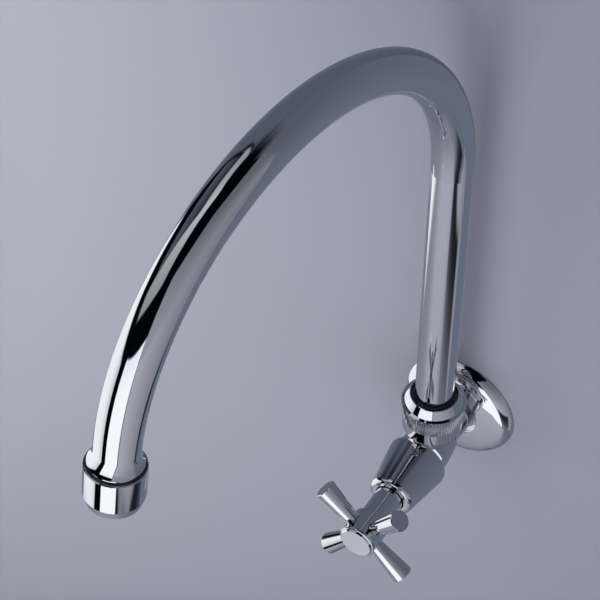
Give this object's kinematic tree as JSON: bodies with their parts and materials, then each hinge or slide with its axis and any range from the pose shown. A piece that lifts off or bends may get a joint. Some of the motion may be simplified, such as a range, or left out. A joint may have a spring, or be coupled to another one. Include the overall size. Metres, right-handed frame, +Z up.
{
  "type": "wall-mounted kitchen tap",
  "caption": "Wall-mounted cold water tap with a tall swivelling gooseneck spout, a domed wall flange, a tapered bonnet and a cross handle on a compression valve.",
  "frame": {"origin": "centre of the inlet thread, in the plane of the wall", "axes": "+Z up along the riser, +Y into the wall along the inlet thread, +X to the right for someone who faces the wall"},
  "size_m": [0.0639, 0.264, 0.322],
  "materials": {
    "chrome": "polished chrome plate on brass",
    "brass": "turned, bare",
    "steel": "plain",
    "rubber": "matte",
    "plastic": "moulded"
  },
  "bodies": {
    "tap_body": {"tap_body": "chrome", "wall_flange": "chrome", "flange_gasket": "rubber", "spout_nut": "chrome", "dust_ring": "rubber", "slip_ring": "plastic", "headwork_body": "brass", "headwork_gasket": "rubber", "gland_packing": "plastic", "gland_nut": "brass", "bonnet_cover": "chrome"},
    "jumper": {"jumper_valve": "brass", "seat_washer": "rubber", "washer_nut": "brass"},
    "handle": {"spindle": "brass", "handle_hub": "chrome", "handle_arm_1": "chrome", "handle_arm_2": "chrome", "handle_arm_3": "chrome", "handle_arm_4": "chrome", "handle_screw": "steel", "index_cap": "chrome"},
    "spout": {"spout_tube": "chrome", "spout_tail": "brass", "tail_seal_1": "rubber", "tail_seal_2": "rubber", "outlet_insert": "brass", "sleeve_gasket": "rubber", "aerator_shell": "chrome", "aerator_washer": "rubber", "aerator_diffuser": "plastic", "aerator_screens": "steel", "flow_straightener": "plastic"}
  },
  "joints": [
    {"name": "spout_swivel", "type": "hinge", "parent": "tap_body", "child": "spout", "pos_m": [0, -0.0289, 0], "axis": [0, 0, 1], "range_deg": [-83.6, 96.4]},
    {"name": "jumper_lift", "type": "slide", "parent": "tap_body", "child": "jumper", "axis": [0, -1, 0], "range_m": [0, 0.0036]},
    {"name": "handle_turn", "type": "hinge", "parent": "jumper", "child": "handle", "pos_m": [0, -0.06, 0], "axis": [0, -1, 0], "range_deg": [0, 630]}
  ],
  "couplings": [
    {"joint": "jumper_lift", "follows": "handle_turn", "m_per_rad": 0.00031831}
  ]
}
